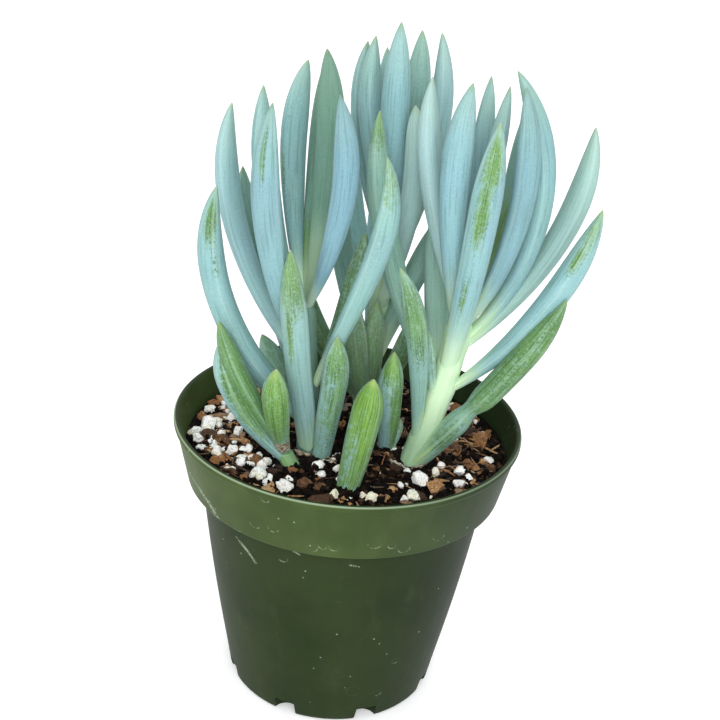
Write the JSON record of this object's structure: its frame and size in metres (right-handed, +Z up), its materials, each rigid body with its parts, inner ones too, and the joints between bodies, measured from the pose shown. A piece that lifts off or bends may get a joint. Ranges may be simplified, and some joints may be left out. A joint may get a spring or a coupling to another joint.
{
  "type": "potted succulent plant",
  "caption": "Upright clump of finger-like blue-green succulent leaves on short leafy stems, in a round tapered nursery pot with a wide rim band, filled with loose potting mix.",
  "frame": {"origin": "middle of the pot's base, on the face it stands on", "axes": "+Z up along the pot's axis, the front of the plant towards -Y, its right side towards +X"},
  "size_m": [0.1283, 0.129, 0.2249],
  "materials": {
    "pot_plastic": "satin",
    "potting_mix": "matte",
    "blue_leaf": "matte",
    "green_leaf": "matte",
    "perlite": "matte",
    "bark": "matte"
  },
  "bodies": {
    "root": {"pot": "pot_plastic", "soil": "potting_mix", "shoot_left": "blue_leaf", "shoot_right": "blue_leaf", "shoot_back": "blue_leaf", "sprout_left": "green_leaf", "sprout_front": "green_leaf", "sprout_centre": "green_leaf"}
  },
  "joints": []
}
